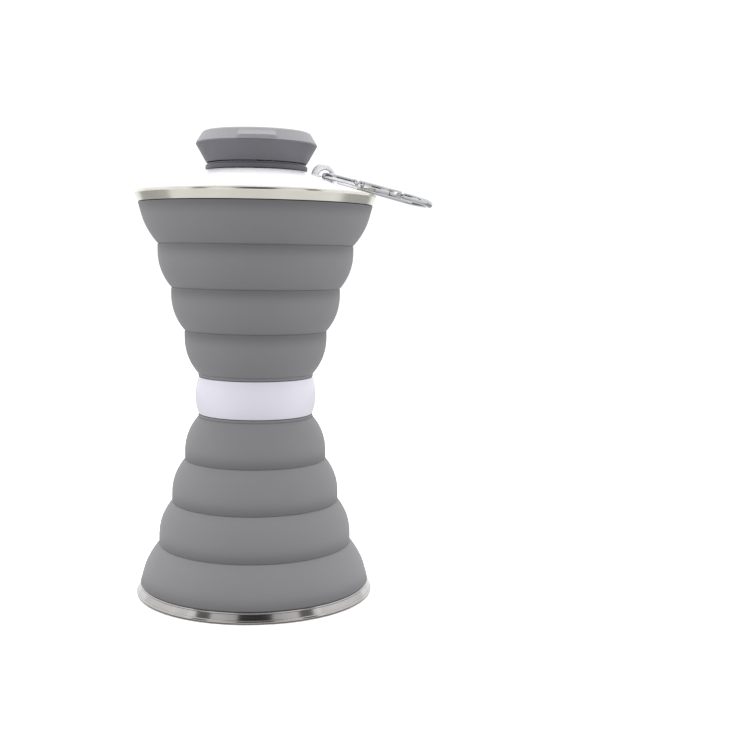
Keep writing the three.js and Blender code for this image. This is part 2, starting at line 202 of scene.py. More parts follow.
class Finish:
    """A procedural material round one Principled shader."""

    def __init__(self, name, **constants):
        self.material = bpy.data.materials.new(name)
        self.material.use_nodes = True
        self.nodes = self.material.node_tree.nodes
        self.links = self.material.node_tree.links
        self.shader = self.nodes["Principled BSDF"]
        for socket, value in constants.items():
            self.shader.inputs[socket.replace("_", " ").title().replace("Ior", "IOR")].default_value = value

    def node(self, kind, settings=None, inputs=None, output=0):
        made = self.nodes.new(kind)
        for key, value in (settings or {}).items():
            if key == "stops":
                for stop, (place, colour) in zip(made.color_ramp.elements, value):
                    stop.position, stop.color = place, (*colour, 1)
            else:
                setattr(made, key, value)
        for key, value in (inputs or {}).items():
            self.feed(made.inputs[key], value)
        return Signal(self, made.outputs[output])

    def feed(self, socket, value):
        if isinstance(value, Signal):
            self.links.new(value.socket, socket)
        else:
            socket.default_value = value

    def place(self):
        return self.node("ShaderNodeTexCoord", output="Object")

    def stretched(self, x, y, z):
        """The place on the piece, with each axis stretched."""
        return self.node("ShaderNodeMapping", {}, {"Vector": self.place(), "Scale": (x, y, z)})

    def noise(self, scale, detail=3, vector=None):
        """Cloudy noise from 0 to 1, with scale waves to a metre."""
        inputs = {"Vector": vector or self.place(), "Scale": scale, "Detail": detail}
        return self.node("ShaderNodeTexNoise", {}, inputs)

    def marked(self, name):
        """A value written on the mesh: edge is 1 on an outer edge and -1 in an inner corner."""
        return self.node("ShaderNodeAttribute", {"attribute_name": name}, output="Fac")

    def mixed(self, factor, first, second):
        sockets = {0: factor, 6: (*first, 1) if isinstance(first, tuple) else first, 7: (*second, 1)}
        return self.node("ShaderNodeMix", {"data_type": "RGBA"}, sockets, output=2)

    def bump(self, height, depth, strength=1.0):
        """Raises the surface by depth millimetres where height is 1."""
        inputs = {"Height": height, "Distance": depth * MM, "Strength": strength}
        self.feed(self.shader.inputs["Normal"], self.node("ShaderNodeBump", {}, inputs))

    def paint(self, colour=None, roughness=None, coat=None):
        for socket, value in (("Base Color", colour), ("Roughness", roughness), ("Coat Weight", coat)):
            if value is not None:
                self.feed(self.shader.inputs[socket], value)

    def on(self, *things):
        for thing in things:
            thing.data.materials.clear()
            thing.data.materials.append(self.material)


def tinted(shade, amount):
    return tuple(min(1, c * amount) for c in shade)


def silicone_finish(name, shade, crease_shade, dust, roughness):
    """Matte moulded silicone: soft clouds of pigment, a fine grain, dust, painted groove shade and edge
    highlights.
    """
    finish = Finish(name, sheen_weight=0.12, sheen_roughness=0.45, ior=1.42)
    clouds = finish.noise(38, 4)
    grain = finish.noise(2600, 2)
    rings = finish.noise(1.0, 1, finish.stretched(60, 60, 1500))
    edge = finish.marked("edge")
    colour = finish.mixed(clouds, shade, tinted(shade, 1.07))
    # Painted shade: inner corners and grooves darker.
    colour = finish.mixed((edge * -1.1).held(), colour, crease_shade)
    specks = ((finish.noise(1900, 0) - 0.76) * 9).held()
    colour = finish.mixed(specks * 0.12, colour, dust)
    # Painted shade: each stage darker beside its groove, where the bulge overhangs.
    colour = finish.mixed(finish.marked("fold") * 0.75, colour, tinted(shade, 0.58))
    # Painted highlight: outer edges and crests lighter.
    colour = finish.mixed((edge * 0.9).held(), colour, tinted(shade, 1.12))
    finish.paint(colour, roughness + 0.1 * finish.noise(160, 3) + 0.05 * grain)
    finish.bump(0.55 * grain + 0.35 * rings, 0.05, 0.45)
    return finish


# The second colour is the painted shade in grooves and inner corners.
grey_silicone = silicone_finish(
    "grey silicone", (0.19, 0.19, 0.199), (0.125, 0.125, 0.131), (0.33, 0.33, 0.34), 0.56
)

floor_top = 2.0
floor_edge = radius("floor_pad")
upstand_top = high("floor_pad")
upstand_wall = 1.6
upstand_inner = floor_edge - upstand_wall
dish = 0.3  # how far the floor's middle is dished
foot_rise = 0.5  # how far the middle stands clear of the table
foot_ring = 38.0
floor_pad = turned(
    "bottle_floor",
    [
        (0, foot_rise, 0),
        (foot_ring - 5, foot_rise, 0.4),
        (foot_ring - 3.5, 0, 0.4),
        (floor_edge, 0, 0.35),
        (floor_edge, upstand_top, 0.2),
        (upstand_inner, upstand_top, 0.2),
        (upstand_inner, floor_top, 1.2),
        (30, floor_top, 3),
        (28, floor_top - dish, 3),
        (0, floor_top - dish, 0),
    ],
)
grey_silicone.on(floor_pad)
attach(floor_pad, "base")
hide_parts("floor_pad")

# ---- base hoop
# A stiff plastic hoop hidden inside the steel base ring. It keeps the silicone round and
# clamps its thick edge against the steel.


def plastic_finish(name, shade, roughness, grain_depth, gloss=0.0, clouds=0.04):
    """Moulded plastic: spark-eroded grain, faint flow clouds, edges polished by hands, painted shade and
    highlights.
    """
    finish = Finish(name, ior=1.5)
    edge = finish.marked("edge")
    flow = finish.noise(22, 3)
    grain = finish.noise(3200, 2)
    smudge = finish.noise(110, 4)
    colour = finish.mixed(flow, shade, tinted(shade, 1 + clouds))
    # Painted shade: inner corners darker.
    colour = finish.mixed((edge * -1.5).held() * 0.6, colour, tinted(shade, 0.55))
    # Outer edges lighter: wear, and a painted highlight.
    colour = finish.mixed((edge * 1.1).held(), colour, tinted(shade, 1.22))
    specks = ((finish.noise(1500, 0) - 0.77) * 8).held()
    colour = finish.mixed(specks * 0.2, colour, tinted(shade, 0.7))
    polish = (edge * 1.2).held() * 0.14
    worn = (roughness + 0.09 * smudge + 0.05 * grain - polish).held()
    finish.paint(colour, worn, gloss * (0.7 + 0.5 * smudge))
    finish.bump(grain + 0.4 * finish.noise(420, 2), grain_depth, 0.4)
    return finish


# The same grey as the flip lid, painted darker: painted shade for the cap's downward funnel.
shaded_grey_plastic = plastic_finish("shaded grey plastic", (0.112, 0.112, 0.127), 0.42, 0.035)

hoop_wall = 1.1


def square_section(outer, inner, bottom, top, fillet):
    """The outline of a plain flat ring."""
    return [(r, z, fillet) for r, z in ((outer, bottom), (outer, top), (inner, top), (inner, bottom))]


hoop_outer = radius("base_hoop")
hoop_section = square_section(hoop_outer, hoop_outer - hoop_wall, *span("base_hoop"), 0.25)
base_hoop = turned("base_clamp_hoop", hoop_section)
shaded_grey_plastic.on(base_hoop)
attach(base_hoop, "base")
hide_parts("base_hoop")

# ---- steel base ring
# Spun stainless steel, polished. A thin rolled bead runs round its foot, and its top edge
# closes on the silicone.


def steel_finish(name, shade, roughness, streaks=0.1):
    """Spun and polished steel: rings from the lathe, hairline scratches, faint smudges, painted shade in
    corners and where marked.
    """
    finish = Finish(name, metallic=1.0)
    spun = finish.noise(1.0, 2, finish.stretched(70, 70, 5200))
    hair = finish.noise(1.0, 3, finish.stretched(900, 900, 9000))
    smudge = finish.noise(75, 4)
    tarnish_and_shade = finish.mixed((smudge * 1.6 - 0.45).held(), shade, tinted(shade, 0.86))
    # Painted shade: inner corners darker.
    tarnish_and_shade = finish.mixed((finish.marked("edge") * -2).held(), tarnish_and_shade, (0.16, 0.14, 0.13))
    # Painted contact shadow: a dark brown line where the piece is marked.
    tarnish_and_shade = finish.mixed(finish.marked("grime"), tarnish_and_shade, (0.10, 0.065, 0.05))
    finish.paint(tarnish_and_shade, (roughness + streaks * spun + 0.1 * smudge - 0.05).held())
    finish.bump(0.5 * spun + 0.5 * hair, 0.012, 0.35)
    return finish


polished_steel = steel_finish("polished steel", (0.56, 0.545, 0.54), 0.08)

ring_foot = radius("base_steel_ring")
ring_top = high("base_steel_ring")
ring_top_radius = radius("lower_ring_1") - 0.3
steel_wall = 0.6
bead = 0.6
base_ring = turned(
    "base_steel_ring_polished",
    [
        (ring_foot - bead, 0, 0.25),
        (ring_foot - 0.12, 0.1, 0.3),
        (ring_foot, 0.75, 0.5),
        (ring_foot - 0.3, 1.35, 0.25),
        (ring_foot - 0.55, 1.5, 0.15),
        (ring_top_radius + 0.12, ring_top - 0.7, 0.15),
        (ring_top_radius + 0.3, ring_top - 0.45, 0.2),
        (ring_top_radius + 0.1, ring_top, 0.3),
        (ring_top_radius - steel_wall, ring_top, 0.2),
        (ring_foot - 1.6 * steel_wall, 1.2, 0.3),
        (ring_foot - 2.4, steel_wall, 0.3),
        (ring_foot - 2.4, 0, 0.2),
    ],
    around=224,
)


def mark(thing, name, amount):
    """Writes amount(radius, height) on every corner of a piece, for its finish to read."""
    layer = thing.data.attributes.new(name, "FLOAT", "POINT")
    for corner, value in zip(thing.data.vertices, layer.data):
        x, y, z = corner.co / MM
        value.value = amount(math.hypot(x, y), z)


# How high the painted contact shadow reaches up the foot.
contact_shadow_height = 0.72


def foot_contact_shadow(r, z):
    """Painted contact shadow under the bead, on the outside only."""
    return math.exp(-((z / contact_shadow_height) ** 4)) if r > ring_foot - 2 * bead else 0


# The base ring's foot gets a painted contact shadow.
mark(base_ring, "grime", foot_contact_shadow)
polished_steel.on(base_ring)
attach(base_ring, "base")
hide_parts("base_steel_ring")

# ---- folding stages
# Each cone is one silicone moulding with four stages. A stage is a stiff ring and a
# thinner bulging web, which turns inside out and tucks the next stage into this one.

STAGE_COUNT = 4
bulge_radius = 22
ring_wall = 2.0
web_wall = 1.7
foot_wall = 4.2
groove_depth = 0.3
groove_height = 0.55
wide_lean = 0.27
wide_straight, inner_straight = 4.5, 3.0  # the upright foot of a stage, below its bulge
flash_height, flash_width = 0.05, 0.35
fold_reach = 3.4
roll_in = 0.8  # taken off the widest stage's crest height; folded, this stage rolls a little way down its ring and leaves a crevice
run_out = 0.7  # added to the widest stage's groove height; folded, it ends its turn a little way past the groove, clear of the lid's ledge
mirror_height = low("lower_ring_1") + high("upper_ring_1")


def pinch(rise):
    """How deep the groove's round lip is, from 0 at its foot to 1 on the flank."""
    return groove_depth * (1 - math.sqrt(1 - (1 - rise) ** 2))


def stage_points(index):
    """Outline of a stage of the lower cone: up the outside, down the inside."""
    ring, web = f"lower_ring_{index}", f"lower_web_{index}"
    bottom, crest, top = low(ring), high(ring), high(web)
    lean, straight = (wide_lean, wide_straight) if index == 1 else (0, inner_straight)
    wide = radius(ring)

    def outside(z):
        past = max(0, z - bottom - straight)
        return wide - lean * (z - bottom) - (bulge_radius - math.sqrt(bulge_radius**2 - past**2))

    def wall(z):
        share = max(0, min(1, (z - crest) / (top - crest) * 3))
        return ring_wall + (web_wall - ring_wall) * share

    steps = 30
    heights = [bottom + (top - bottom) * k / steps for k in range(steps + 1)]
    outer = []
    for z in heights:
        rise = min(1, (z - bottom) / groove_height)
        tuck = pinch(rise) if index > 1 else 0
        close = max(0, 1 - (top - z) / groove_height) if index < STAGE_COUNT else 0
        outer.append((outside(z) - tuck - 0.35 * groove_depth * close**2, z))
    if index > 1:  # the groove's round lip needs more rows than the flank
        lip = []
        for k in range(7):
            rise = 1 - math.cos(math.pi / 2 * k / 6)
            lip.append((outside(bottom) - pinch(rise), bottom + groove_height * rise))
        outer = lip + [p for p in outer if p[1] > bottom + groove_height + 0.1]
    inner = [(outside(z) - wall(z), z) for z in reversed(heights)]
    if index == 1:
        foot = wide - foot_wall
        inner = [p for p in inner if p[1] > bottom + ring_wall] + [
            (wide - ring_wall - 0.7, bottom + ring_wall - 0.4),
            (foot, bottom + 0.6),
            (foot, bottom),
        ]
    return outer, inner


def mould_line(angle, r, z):
    """The two halves of the mould leave a hairline ridge at each side."""
    off = min(abs(math.sin(angle)) * r, 1.2) if abs(math.cos(angle)) > 0.5 else 1.2
    return r + flash_height * math.exp(-((off / flash_width) ** 2)), z


def beside(wide_end):
    """Painted shade on the stretch beside the groove at a stage's wide end, a little darker than the flank.
    """
    return lambda r, z: math.exp(-(((z - wide_end) / fold_reach) ** 2))


for number in range(1, STAGE_COUNT + 1):
    outer, inner = stage_points(number)
    crest, groove = high(f"lower_ring_{number}"), high(f"lower_web_{number}")
    upright = [(r, z, 0) for r, z in outer + inner]
    flipped = [(r, mirror_height - z, 0) for r, z in outer + inner]
    lower = turned(f"lower_fold_stage_{number}", upright, mould_line, 192)
    upper = turned(f"upper_fold_stage_{number}", flipped, mould_line, 192)
    grey_silicone.on(lower, upper)
    # Each stage gets painted shade beside its groove, at its wide end.
    mark(lower, "fold", beside(low(f"lower_ring_{number}")))
    mark(upper, "fold", beside(high(f"upper_ring_{number}")))
    for stage, side in ((lower, "lower"), (upper, "upper")):
        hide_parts(f"{side}_ring_{number}", f"{side}_web_{number}")
    if number == 1:
        crest, groove = crest - roll_in, groove + run_out
    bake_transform(lower)
    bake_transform(upper)

# ---- waist sleeve
# The narrow middle of the silicone body, with a shallow channel that the rigid waist
# band snaps into. Its bore is smooth.

neck = radius("waist_sleeve")
narrow_end = stage_points(STAGE_COUNT)[0][-1][0]
waist_low, waist_high = span("waist_sleeve")
band_low, band_high = span("waist_band")
channel = 0.9
neck_wall = 2.4
gap = 0.3
sleeve = turned(
    "waist_silicone_sleeve",
    [
        (narrow_end, waist_low, 0),
        (neck, band_low - gap, 0.25),
        (neck - channel, band_low - gap, 0.15),
        (neck - channel, band_high + gap, 0.15),
        (neck, band_high + gap, 0.25),
        (narrow_end, waist_high, 0),
        (narrow_end - web_wall, waist_high, 0),
        (neck - neck_wall, band_high, 0.5),
        (neck - neck_wall, band_low, 0.5),
        (narrow_end - web_wall, waist_low, 0),
    ],
)
grey_silicone.on(sleeve)
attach(sleeve, "waist")
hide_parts("waist_sleeve")

# ---- waist band
# A rigid grip band of satin white plastic round the waist, crowned, with softly rounded
# edges.

band_plastic = plastic_finish(
    "satin white plastic", (0.66, 0.65, 0.725), 0.34, 0.02, gloss=0.12, clouds=0.03
)
band_crown = radius("waist_band")
band_inner = neck - 0.6
crown_steps = 13
crown_fall, crown_power = 1.35, 2.3  # flat in the middle and steeper towards the edges
crown = []
for k in range(crown_steps + 1):
    share = 2 * k / crown_steps - 1
    height = band_low + (band_high - band_low) * k / crown_steps
    fillet = 0.8 if k in (0, crown_steps) else 0
    crown.append((band_crown - crown_fall * abs(share) ** crown_power, height, fillet))
waist_band = turned(
    "waist_grip_band",
    [*crown, (band_inner, band_high, 0.2), (band_inner, band_low, 0.2)],
    around=192,
)
band_plastic.on(waist_band)
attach(waist_band, "waist")
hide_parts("waist_band")

# ---- screw ring
# The plastic ring inside the rim, clipped under the steel flange. It carries the ledge
# for the lid's seal and the screw thread that the lid turns into.


def ridge(offset, width):
    """A round-topped ridge, 1 at its middle and 0 at its foot."""
    share = abs(offset) / (width / 2)
    return 0.5 + 0.5 * math.cos(math.pi * share) if share < 1 else 0


def thread(pitch, width, depth, start, end, lead_in=0.7):
    """Reshapes a turned flank with a screw thread between two heights."""

    def reshape(angle, r, z):
        if not start - width < z < end + width:
            return r, z
        turn = (z - start) / pitch - angle / (2 * math.pi)
        middle = start + (round(turn) + angle / (2 * math.pi)) * pitch
        inside = min(middle - start, end - middle) + 0.3 * pitch
        return r + depth * max(0, min(1, inside / lead_in)) * ridge(z - middle, width), z

    return reshape


def flank(r, start, end, step=0.12):
    """Rows close enough together to carry a thread."""
    rows = max(2, round(abs(end - start) / step))
    return [(r, start + (end - start) * k / rows, 0) for k in range(rows + 1)]


screw_outer = radius("rim_thread_ring")
screw_low, screw_high = span("rim_thread_ring")
lid_gap, ledge_reach, ledge_thickness = 0.5, 1.2, 0.9
lid_pitch, lid_ridge = 1.8, 0.9
mouth = radius("lid_dome") + lid_gap
ledge = mouth - ledge_reach
ledge_top = screw_low + ledge_thickness
inward_thread = thread(lid_pitch, lid_ridge, -0.32, ledge_top + lid_ridge, screw_high - 0.7)
screw_ring = turned(
    "rim_screw_ring",
    [
        (screw_outer, screw_low, 0.2),
        (screw_outer, screw_high, 0.2),
        (mouth + 0.1, screw_high, 0.15),
        *flank(mouth + 0.1, screw_high - 0.3, ledge_top + 0.3),
        (mouth + 0.1, ledge_top, 0.1),
        (ledge, ledge_top, 0.2),
        (ledge + 0.05, screw_low + 0.5, 0.2),
        (ledge + 0.6, screw_low, 0.2),
    ],
    lambda angle, r, z: inward_thread(angle, r, z) if mouth < r < mouth + 0.2 else (r, z),
)
shaded_grey_plastic.on(screw_ring)
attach(screw_ring, "rim")
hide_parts("rim_thread_ring")

# ---- steel rim ring
# Spun stainless steel like the base ring: a flared side, a rolled top edge and a flat
# flange that reaches in to the lid.

rim_foot_radius = radius("upper_ring_1")
rim_edge = radius("rim_steel_ring")
rim_low, rim_high = span("rim_steel_ring")
rim_ring = turned(
    "rim_steel_ring_polished",
    [
        (rim_foot_radius, rim_low, 0.15),
        (rim_edge, rim_high - 1.35, 0.4),
        (rim_edge - 0.2, rim_high - 0.45, 0.35),
        (rim_edge - 1.1, rim_high, 0.8),
        (mouth, rim_high - 0.05, 0.25),
        (mouth, rim_high - steel_wall, 0.15),
        (rim_edge - steel_wall - 0.3, rim_high - steel_wall, 0.3),
        (rim_foot_radius - steel_wall, rim_low, 0.15),
    ],
    around=224,
)
# The same stainless as the base ring, given a lighter cream colour: a painted reflection.
rim_steel = steel_finish("warm polished steel", (0.84, 0.825, 0.745), 0.17)
rim_steel.on(rim_ring)
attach(rim_ring, "rim")
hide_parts("rim_steel_ring")

# ---- lid seal
# A flat gasket of clear silicone on the ledge, which the lid presses down on.

# The second colour is the painted shade in grooves and inner corners.
clear_silicone = silicone_finish(
    "clear silicone", (0.62, 0.62, 0.62), (0.42, 0.42, 0.42), (0.8, 0.8, 0.8), 0.38
)
seal_low, seal_high = span("lid_seal")
seal_outer = radius("lid_seal")
lid_seal = turned(
    "lid_gasket",
    [
        (seal_outer, seal_low, 0.2),
        (seal_outer, seal_high, 0.2),
        (seal_outer - 0.2, seal_high - 0.1, 0.1),
        (ledge + 0.2, seal_high - 0.1, 0.1),
        (ledge, seal_high, 0.2),
        (ledge, seal_low, 0.2),
    ],
)
clear_silicone.on(lid_seal)
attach(lid_seal, "lid_ring_seal")
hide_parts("lid_seal")

# ---- dome lid
# One glossy white moulding: a threaded skirt, a dome that sweeps up to the drinking
# neck, and a lug at one side that the hook hangs from.

white_plastic = plastic_finish(
    "glossy white plastic", (0.86, 0.855, 0.885), 0.2, 0.006, gloss=0.5, clouds=0.02
)

skirt = radius("lid_seal")
skirt_low = low("lid_dome")
skirt_wall = 1.4
lid_top = high("lid_dome")
neck_rise = 7.1
dome_top = lid_top - neck_rise
dome_rise = dome_top - rim_high
dome_wall = 1.9
collar_outer = radius("neck_collar")
dome_foot = collar_outer + 0.5
neck_outer = 17.2
neck_bore = 14.8


def dome_height(r):
    """Height of the dome's outside above the rim, at a distance from the axis."""
    share = max(0, min(1, (skirt - r) / (skirt - dome_foot)))
    sweep = 0.76 * share + 0.5 * share**2 - 0.26 * share**3
    shoulder = 0.35 * share * (1 - share) ** 3 * (share - 0.4)
    return dome_rise * (sweep + shoulder)


dome_steps = 36
dome_rows = []
for k in range(1, dome_steps + 1):
    r = skirt + (dome_foot - skirt) * (k / dome_steps)
    dome_rows.append((r, rim_high + dome_height(r), 0))
inside_rows = [
    (min(r, skirt - skirt_wall), z - dome_wall, 0)
    for r, z, _ in reversed(dome_rows)
    if r < skirt - skirt_wall - 0.3
]
cap_pitch, thread_rise = 2.4, 0.26
neck_thread = thread(cap_pitch, 1.3, thread_rise, dome_top + 3.3, lid_top - 1.0)
skirt_thread = thread(lid_pitch, lid_ridge, thread_rise, skirt_low + 0.4, skirt_low + 1.9)


def lid_threads(angle, r, z):
    if abs(r - neck_outer) < 0.01:
        return neck_thread(angle, r, z)
    if abs(r - skirt) < 0.01 and z < rim_high - 0.2:
        return skirt_thread(angle, r, z)
    return r, z


lid_mesh = turned_mesh(
    "dome_lid_white",
    [
        (skirt - 0.05, skirt_low, 0.15),
        *flank(skirt, skirt_low + 0.3, rim_high - 0.1),
        (skirt + 0.01, rim_high, 0.3),
        *dome_rows,
        (collar_outer - 0.6, dome_top, 0.15),
        (neck_outer, dome_top, 0.3),
        *flank(neck_outer, dome_top + 0.4, lid_top - 0.4),
        (neck_outer, lid_top, 0.35),
        (neck_bore, lid_top, 0.5),
        (neck_bore, dome_top - dome_wall, 0.9),
        *inside_rows,
        (skirt - skirt_wall, rim_high - 0.6, 0.5),
        (skirt - skirt_wall, skirt_low, 0.2),
    ],
    lid_threads,
    192,
)


def lofted(name, rings):
    """A closed tube through rings of points, which all have the same number of points."""
    sides, last = len(rings[0]), len(rings) - 1
    faces = [tuple(range(sides)), tuple(range(last * sides, (last + 1) * sides))]
    for i in range(last):
        for k in range(sides):
            n = (k + 1) % sides
            a, b = i * sides, (i + 1) * sides
            faces.append((a + k, a + n, b + n, b + k))
    vertices = [point for ring in rings for point in ring]
    mesh = bpy.data.meshes.new(name)
    mesh.from_pydata(vertices, [], faces)
    work = bmesh.new()
    work.from_mesh(mesh)
    bmesh.ops.recalc_face_normals(work, faces=work.faces)
    work.to_mesh(mesh)
    work.free()
    return mesh


def swept(name, stations, sides=32):
    """A closed tube through stations of (centre, across, up, half width, half height, squareness)."""
    rings = []
    for centre, across, up, width, height, square in stations:
        ring = []
        for k in range(sides):
            angle = 2 * math.pi * k / sides
            c, s = math.cos(angle), math.sin(angle)
            x = math.copysign(abs(c) ** (2 / square), c) * width
            y = math.copysign(abs(s) ** (2 / square), s) * height
            ring.append(centre + across * x + up * y)
        rings.append(ring)
    return lofted(name, rings)


def combined(base, operation, *tools):
    """Joins the tools' meshes to the base, or cuts them from it, and returns one mesh."""
    body = placed("work", base)
    for tool_mesh in tools:
        tool = placed("tool", tool_mesh)
        step = body.modifiers.new("step", "BOOLEAN")
        step.object, step.operation, step.solver = tool, operation, "EXACT"
        bpy.context.view_layer.update()
        shape = body.evaluated_get(bpy.context.evaluated_depsgraph_get())
        result = bpy.data.meshes.new_from_object(shape)
        body.modifiers.clear()
        body.data = result
        bpy.data.objects.remove(tool)
    result = body.data
    bpy.data.objects.remove(body)
    result.name = base.name
    return result


def joint(name):
    return next(j for j in frame["joints"] if j["name"] == name)


lug_x, _, lug_z = (v / MM for v in joint("hook_swing")["pos_m"])
lug_hole = 2.4
lug_wall = 2.3
lug_half = 2.25
lug_inner_wall = 3.3
foot_fillet = 1.1
ALONG_Y = Vector((0, 1, 0))


def foot_flare(centre):
    """How much the lug widens where it runs into the dome."""
    over = centre.z - rim_high - dome_height(centre.x)
    share = max(0, min(1, over / foot_fillet))
    return foot_fillet * 0.8 * (1 - math.sqrt(1 - (1 - share) ** 2))


def lug_station(angle, drop=0.0):
    """A section of the arch at an angle, or of a leg at a drop below it. The inner leg is thicker."""
    wall = lug_wall + (lug_inner_wall - lug_wall) * (1 - math.cos(angle)) / 2
    spoke = Vector((math.cos(angle), 0, math.sin(angle)))
    centre = Vector((lug_x, 0, lug_z - drop)) + spoke * (lug_hole + wall / 2)
    flare = foot_flare(centre)
    return centre, spoke, ALONG_Y, wall / 2 + flare * 0.8, lug_half + flare, 3.2


leg_steps, arch_steps = 14, 28
sink = 0.5  # how far the legs run into the dome
outer_drop = lug_z - rim_high - dome_height(lug_x + lug_hole + lug_wall / 2) + sink
inner_drop = lug_z - rim_high - dome_height(lug_x - lug_hole - lug_inner_wall / 2) + sink
lug_stations = [lug_station(0, outer_drop * (1 - k / leg_steps)) for k in range(leg_steps)]
lug_stations += [lug_station(math.pi * k / arch_steps) for k in range(arch_steps + 1)]
lug_stations += [lug_station(math.pi, inner_drop * k / leg_steps) for k in range(1, leg_steps + 1)]
lid_mesh = combined(lid_mesh, "UNION", swept("lug", lug_stations))
lid = piece("dome_lid_white", lid_mesh)
white_plastic.on(lid)
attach(lid, "lid")
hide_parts("lid_dome")

# ---- neck collar
# A grey tamper collar pressed round the foot of the neck. Its top is stepped.

collar_lip = 0.18  # the lip that nearly meets the cap
collar_low, collar_high = low("neck_collar"), high("neck_collar") + collar_lip
collar_bore = 17.5
collar_step = 0.65
collar_plastic = plastic_finish("collar plastic", (0.085, 0.085, 0.096), 0.4, 0.03)
collar = turned(
    "neck_collar_grey",
    [
        (collar_outer - 0.35, collar_low, 0.15),
        (collar_outer, collar_low + 0.35, 0.25),
        (collar_outer, collar_high - 0.75, 0.35),
        (collar_outer - collar_step, collar_high - 0.5, 0.15),
        (collar_outer - collar_step, collar_high, 0.2),
        (collar_bore, collar_high, 0.2),
        (collar_bore, collar_low, 0.2),
    ],
    around=128,
)
collar_plastic.on(collar)
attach(collar, "lid")
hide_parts("neck_collar")

# ---- cap seal
# A thin clear washer between the neck and the cap's deck.

washer_low, washer_high = span("cap_seal")
washer_section = square_section(radius("cap_seal"), neck_bore, washer_low, washer_high, 0.18)
cap_seal = turned("cap_washer_clear", washer_section, around=128)
clear_silicone.on(cap_seal)
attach(cap_seal, "cap_washer")
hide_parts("cap_seal")

# ---- cap body
# The drinking cap screws onto the neck. Its outside flares like a funnel, a moat inside
# it catches drips, and a spout stands in its middle. Two knuckles carry the hinge pin.

pin_low, pin_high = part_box("flip_hinge_pin")
hinge_y = (pin_low.y + pin_high.y) / 2 / MM
hinge_z = (pin_low.z + pin_high.z) / 2 / MM
pin_reach = pin_high.x / MM
seam = 0.06
cap_low = low("cap_body")
flip_low, flip_high = hinge_z + seam / 2, high("flip_lid")
cap_high = hinge_z - seam / 2
cap_edge = radius("flip_lid")
cap_flare = 4.2
cap_foot = cap_edge - cap_flare
cap_wall = 1.7
cap_bore = collar_bore
cap_skirt = cap_bore + cap_wall
spout, spout_bore = 7.0, 4.6
deck_thickness = 1.5
deck_low = washer_high + gap
deck_high = deck_low + deck_thickness
spout_high = high("cap_body")
moat = cap_low + cap_wall
cap_thread = thread(cap_pitch, 1.2, -0.2, cap_low + 0.9, washer_low - 1.6)
cap_mesh = turned_mesh(
    "drinking_cap_grey",
    [
        (cap_foot, cap_low, 0.35),
        (cap_edge, cap_high - 0.3, 0.14),
        (cap_edge - 0.1, cap_high, 0.1),
        (cap_edge - cap_wall, cap_high, 0.3),
        (cap_skirt + 0.9, moat + 0.3, 0.5),
        (cap_skirt, moat, 0.3),
        (cap_skirt, deck_high, 0.5),
        (spout + 0.5, deck_high, 0.5),
        (spout, deck_high + 0.5, 0.3),
        (spout, spout_high, 0.6),
        (spout_bore, spout_high, 0.6),
        (spout_bore, deck_low, 0.4),
        (cap_bore, deck_low, 0.3),
        *flank(cap_bore, deck_low - 0.5, cap_low + 0.6),
        (cap_bore, cap_low, 0.3),
    ],
    lambda angle, r, z: cap_thread(angle, r, z) if abs(r - cap_bore) < 0.01 else (r, z),
    128,
)
pin_radius, pin_play = 0.7, 0.1
knuckle = 1.5
outer_knuckle, middle_knuckle = 3.1, 6.2


def barrel(name, x_low, x_high, arm_y, arm_low, arm_high, bevel=0.25):
    """A hinge knuckle with its arm: a rounded outline pushed out along the pin."""
    profile = [(arm_y, arm_high)]
    start = math.asin(max(-1, min(1, (arm_high - hinge_z) / knuckle)))
    stop = math.asin(max(-1, min(1, (hinge_z - arm_low) / knuckle))) - math.pi
    steps = 26
    for k in range(steps + 1):
        angle = start + (stop - start) * k / steps
        profile.append((hinge_y + knuckle * math.cos(angle), hinge_z + knuckle * math.sin(angle)))
    profile.append((arm_y, arm_low))
    work = bmesh.new()
    ring = [work.verts.new((x_low, y, z)) for y, z in profile]
    face = work.faces.new(ring)
    pushed = bmesh.ops.extrude_face_region(work, geom=[face])
    moved = [g for g in pushed["geom"] if isinstance(g, bmesh.types.BMVert)]
    bmesh.ops.translate(work, vec=(x_high - x_low, 0, 0), verts=moved)
    bmesh.ops.recalc_face_normals(work, faces=work.faces)
    rim_edges = [e for e in work.edges if abs(e.verts[0].co.x - e.verts[1].co.x) < 1e-6]
    bevelling = {"offset": bevel, "segments": 3, "affect": "EDGES", "clamp_overlap": True}
    bmesh.ops.bevel(work, geom=rim_edges, **bevelling)
    mesh = bpy.data.meshes.new(name)
    work.to_mesh(mesh)
    work.free()
    return mesh


def drilled(name, middle, way, side_way, reach, hole_radius):
    """A round bar to cut a hole with."""
    up = way.cross(side_way)
    ends = [middle + way * (side * reach) for side in (-1, 1)]
    return swept(name, [(end, side_way, up, hole_radius, hole_radius, 2) for end in ends], 24)


ALONG_X = Vector((1, 0, 0))
hinge_middle = Vector((0, hinge_y, hinge_z))


def pin_hole():
    """The bore for the hinge pin, a little wider than the pin."""
    return drilled("pin hole", hinge_middle, ALONG_X, ALONG_Y, 2 * pin_reach, pin_radius + pin_play)


outer_low = middle_knuckle / 2 + gap
for side in (-1, 1):
    ends = sorted((side * outer_low, side * (outer_low + outer_knuckle)))
    arm = barrel("cap knuckle", *ends, cap_edge - 1.0, cap_high - knuckle, cap_high - 0.05)
    cap_mesh = combined(cap_mesh, "UNION", arm)
cap_mesh = combined(cap_mesh, "DIFFERENCE", pin_hole())
cap = piece("drinking_cap_grey", cap_mesh)
shaded_grey_plastic.on(cap)
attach(cap, "cap")
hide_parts("cap_body")

# ---- flip lid
# The round lid that snaps shut over the spout: a chamfered shell with a dished top, a
# thumb tab at the front and one hinge knuckle at the back.

